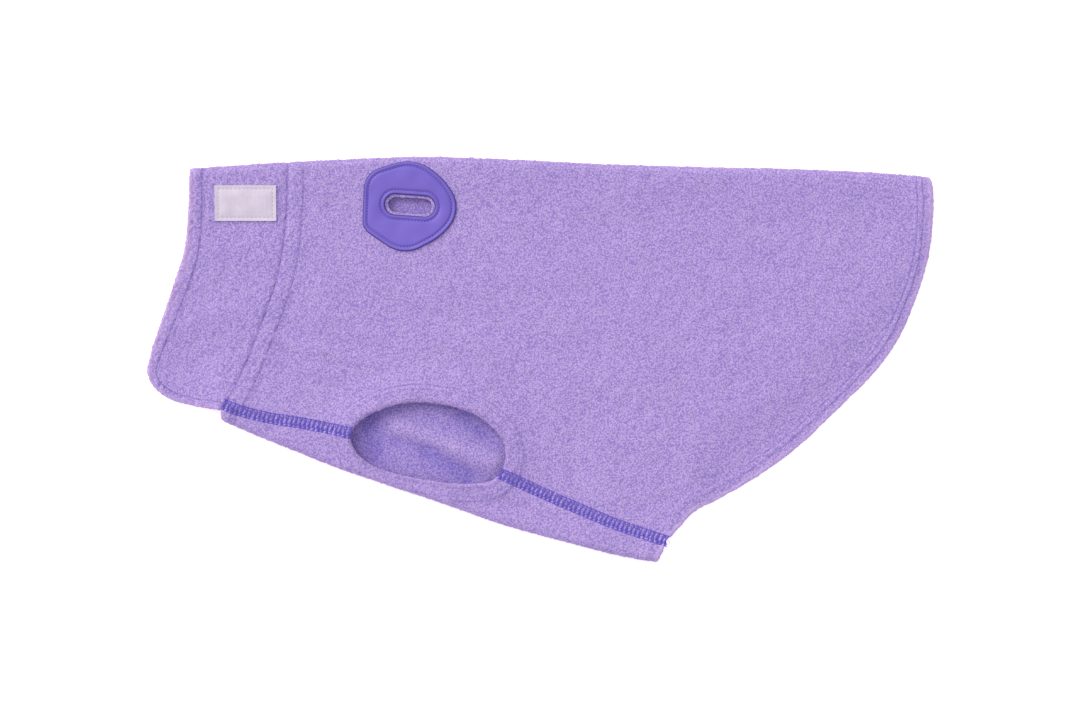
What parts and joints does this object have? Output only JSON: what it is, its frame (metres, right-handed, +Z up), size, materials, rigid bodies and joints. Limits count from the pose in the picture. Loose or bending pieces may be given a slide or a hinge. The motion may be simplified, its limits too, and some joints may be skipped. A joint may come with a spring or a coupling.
{
  "type": "fleece dog sweater",
  "caption": "Pull-over fleece dog sweater lying flat, folded along its back and chest, with an open-fronted collar, hemmed leg holes and a slotted leash patch.",
  "frame": {"origin": "middle of the sweater's outline, on the surface that it lies on", "axes": "+X along the back from the collar to the tail, +Y towards the spine's side, +Z up from the surface"},
  "size_m": [0.4407, 0.2274, 0.0102],
  "materials": {
    "fleece": "lilac stretch fleece with a short pebbled nap",
    "patch": "smooth matte moulded violet rubber",
    "label": "plain off-white woven tape"
  },
  "bodies": {
    "root": {"back_panel": "fleece", "chest_panel": "fleece", "collar": "fleece", "leash_patch": "patch", "label": "label"}
  },
  "joints": []
}
